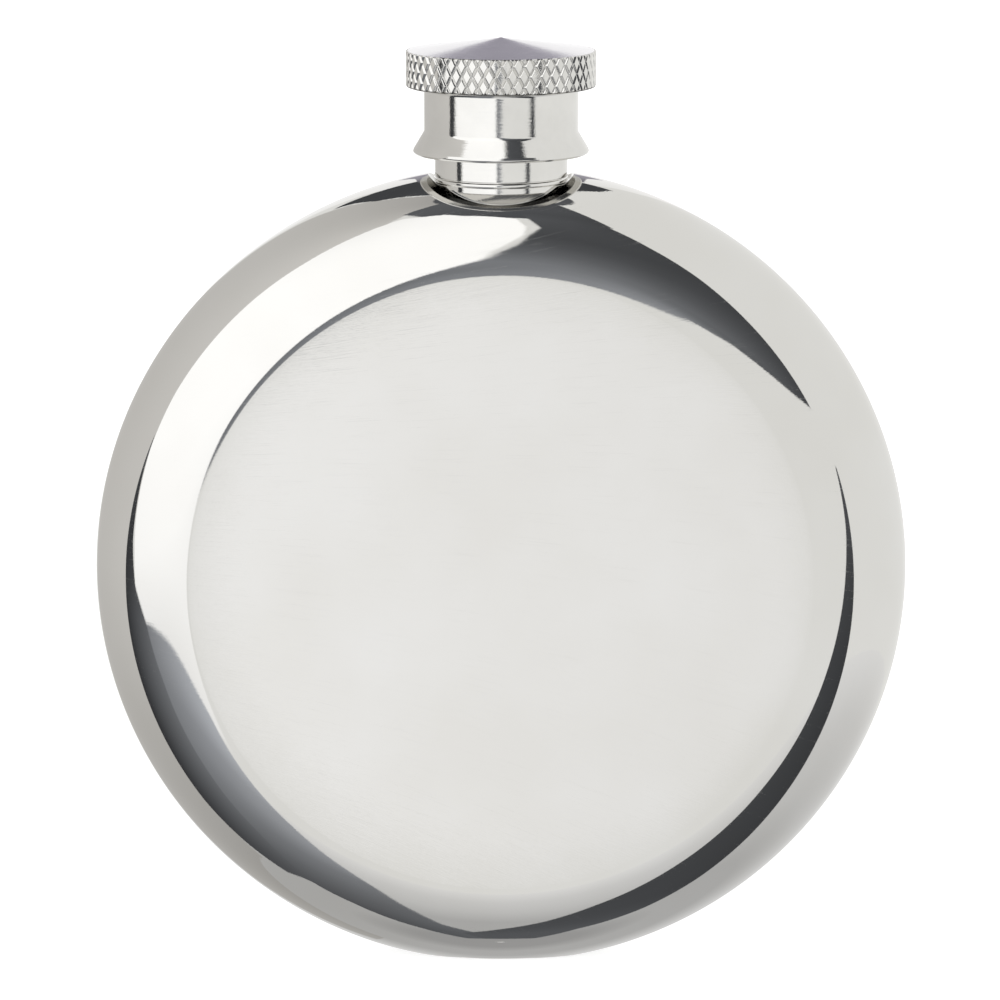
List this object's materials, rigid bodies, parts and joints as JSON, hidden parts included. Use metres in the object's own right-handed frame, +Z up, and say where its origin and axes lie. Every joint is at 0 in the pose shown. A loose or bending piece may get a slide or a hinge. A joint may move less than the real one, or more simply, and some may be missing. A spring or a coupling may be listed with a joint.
{
  "type": "hip flask",
  "caption": "Round polished steel hip flask with flat faces, a rounded rim, a short neck and a knurled screw cap with a flared skirt.",
  "frame": {"origin": "centre of the flat foot, on the surface the flask stands on", "axes": "+Z up along the neck, -Y out of the front face, +X to the right of someone looking at the front face"},
  "size_m": [0.085, 0.0198, 0.0973],
  "materials": {
    "polished_steel": "mirror-polished stainless steel with fine buffing marks",
    "turned_steel": "turned and lightly polished stainless steel",
    "seal": "matt silicone rubber"
  },
  "bodies": {
    "flask": {"front_shell": "polished_steel", "back_shell": "polished_steel", "neck_spout": "turned_steel"},
    "seal": {"cap_gasket": "seal"},
    "cap": {"cap_shell": "turned_steel"}
  },
  "joints": [
    {"name": "cap_lift", "type": "slide", "parent": "flask", "child": "seal", "axis": [0, 0, 1], "range_m": [0, 0.01501]},
    {"name": "cap_turn", "type": "hinge", "parent": "seal", "child": "cap", "pos_m": [0, 0, 0.0853], "axis": [0, 0, 1], "range_deg": [0, 3600]}
  ],
  "couplings": [
    {"joint": "cap_lift", "follows": "cap_turn", "m_per_rad": 0.00023873}
  ]
}
